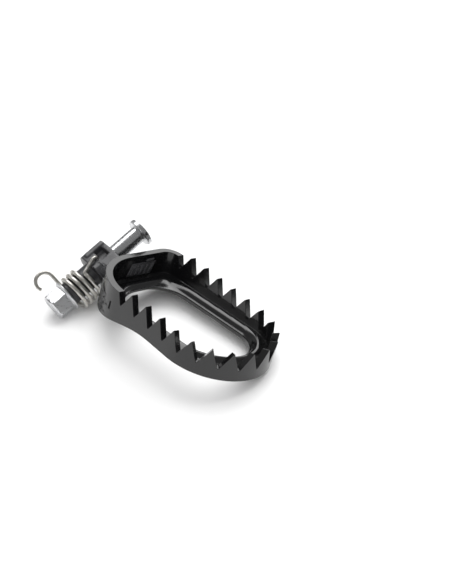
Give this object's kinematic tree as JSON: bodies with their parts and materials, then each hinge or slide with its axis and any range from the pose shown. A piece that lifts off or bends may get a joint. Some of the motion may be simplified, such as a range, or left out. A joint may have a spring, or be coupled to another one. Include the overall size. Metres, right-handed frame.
{
  "type": "motorcycle foot peg",
  "caption": "Folding off-road foot peg: toothed steel tread ring on a hinge lug, with clevis pin, flange bolt and wire return spring.",
  "frame": {"origin": "on the pivot pin's axis, in the plane of the tread ring's centre line", "axes": "+X from the hinge to the peg's tip, +Y towards the side of the pin's head, +Z square to the tread"},
  "size_m": [0.1413, 0.0683, 0.0537],
  "materials": {
    "black_ring": "semi-gloss black coat on cast steel",
    "black_lug": "semi-gloss black coat on cast steel",
    "black_weld": "black coat over a weld bead",
    "bright_pin": "bright zinc plating, turned",
    "plated_bolt": "satin zinc plating",
    "spring_wire": "drawn spring wire, warm grey"
  },
  "bodies": {
    "pin": {"pivot_pin": "bright_pin", "flange_bolt": "plated_bolt"},
    "peg": {"tread_ring": "black_ring", "hinge_lug": "black_lug", "head_side_weld": "black_weld", "spring_side_weld": "black_weld", "return_spring": "spring_wire"}
  },
  "joints": [
    {"name": "fold", "type": "hinge", "parent": "pin", "child": "peg", "pos_m": [0, 0, 0], "axis": [0, -0.7771, -0.6293], "range_deg": [0, 60], "stiffness_Nm_per_rad": 0.35, "springref_deg": -34.38, "deforming": ["return_spring"]}
  ]
}
